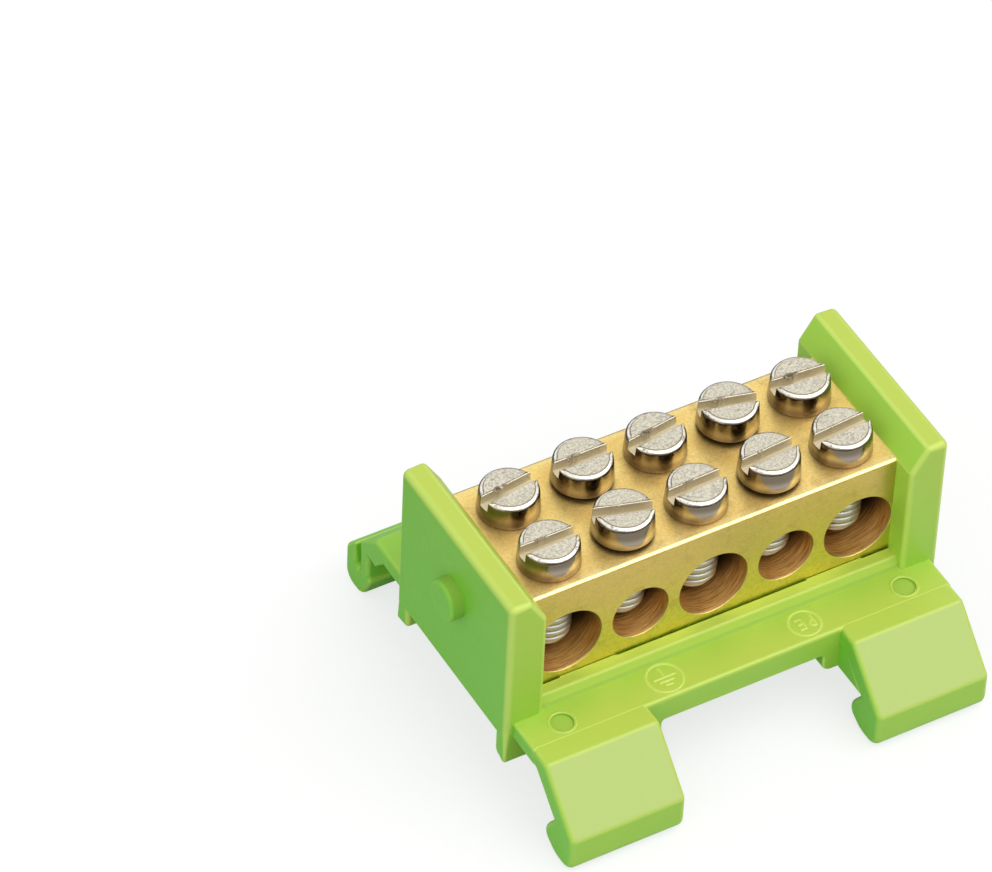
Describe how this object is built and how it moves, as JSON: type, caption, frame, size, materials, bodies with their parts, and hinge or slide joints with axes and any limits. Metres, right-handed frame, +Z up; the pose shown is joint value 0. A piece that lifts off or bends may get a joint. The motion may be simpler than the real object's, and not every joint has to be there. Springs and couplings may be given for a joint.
{
  "type": "earth terminal block",
  "caption": "Green rail-clip carrier holding a brass bar with large and small conductor holes, each clamped from above by slotted screws.",
  "frame": {"origin": "under the middle of the block, level with the lowest points of the clip hooks", "axes": "+X along the bar from left to right, +Y from the front (hooked) clips to the back (sprung) clips, +Z up away from the rail"},
  "size_m": [0.0506, 0.044, 0.0257],
  "materials": {
    "green_plastic": "moulded yellow-green polyamide with a fine satin skin",
    "brass": "drawn and drilled brass, satin, with fine turning marks in the holes",
    "plated_steel": "bright nickel-plated steel with driver marks around the slots"
  },
  "bodies": {
    "block": {"carrier": "green_plastic", "terminal_bar": "brass"},
    "screw_front_1": {"clamp_screw_front_1": "plated_steel"},
    "screw_front_2": {"clamp_screw_front_2": "plated_steel"},
    "screw_front_3": {"clamp_screw_front_3": "plated_steel"},
    "screw_front_4": {"clamp_screw_front_4": "plated_steel"},
    "screw_front_5": {"clamp_screw_front_5": "plated_steel"},
    "screw_back_1": {"clamp_screw_back_1": "plated_steel"},
    "screw_back_2": {"clamp_screw_back_2": "plated_steel"},
    "screw_back_3": {"clamp_screw_back_3": "plated_steel"},
    "screw_back_4": {"clamp_screw_back_4": "plated_steel"},
    "screw_back_5": {"clamp_screw_back_5": "plated_steel"}
  },
  "joints": [
    {"name": "clamp_front_1", "type": "slide", "parent": "block", "child": "screw_front_1", "axis": [0, 0, 1], "range_m": [0, 0.006]},
    {"name": "clamp_front_2", "type": "slide", "parent": "block", "child": "screw_front_2", "axis": [0, 0, 1], "range_m": [0, 0.006]},
    {"name": "clamp_front_3", "type": "slide", "parent": "block", "child": "screw_front_3", "axis": [0, 0, 1], "range_m": [0, 0.006]},
    {"name": "clamp_front_4", "type": "slide", "parent": "block", "child": "screw_front_4", "axis": [0, 0, 1], "range_m": [0, 0.006]},
    {"name": "clamp_front_5", "type": "slide", "parent": "block", "child": "screw_front_5", "axis": [0, 0, 1], "range_m": [0, 0.006]},
    {"name": "clamp_back_1", "type": "slide", "parent": "block", "child": "screw_back_1", "axis": [0, 0, 1], "range_m": [0, 0.006]},
    {"name": "clamp_back_2", "type": "slide", "parent": "block", "child": "screw_back_2", "axis": [0, 0, 1], "range_m": [0, 0.006]},
    {"name": "clamp_back_3", "type": "slide", "parent": "block", "child": "screw_back_3", "axis": [0, 0, 1], "range_m": [0, 0.006]},
    {"name": "clamp_back_4", "type": "slide", "parent": "block", "child": "screw_back_4", "axis": [0, 0, 1], "range_m": [0, 0.006]},
    {"name": "clamp_back_5", "type": "slide", "parent": "block", "child": "screw_back_5", "axis": [0, 0, 1], "range_m": [0, 0.006]}
  ]
}
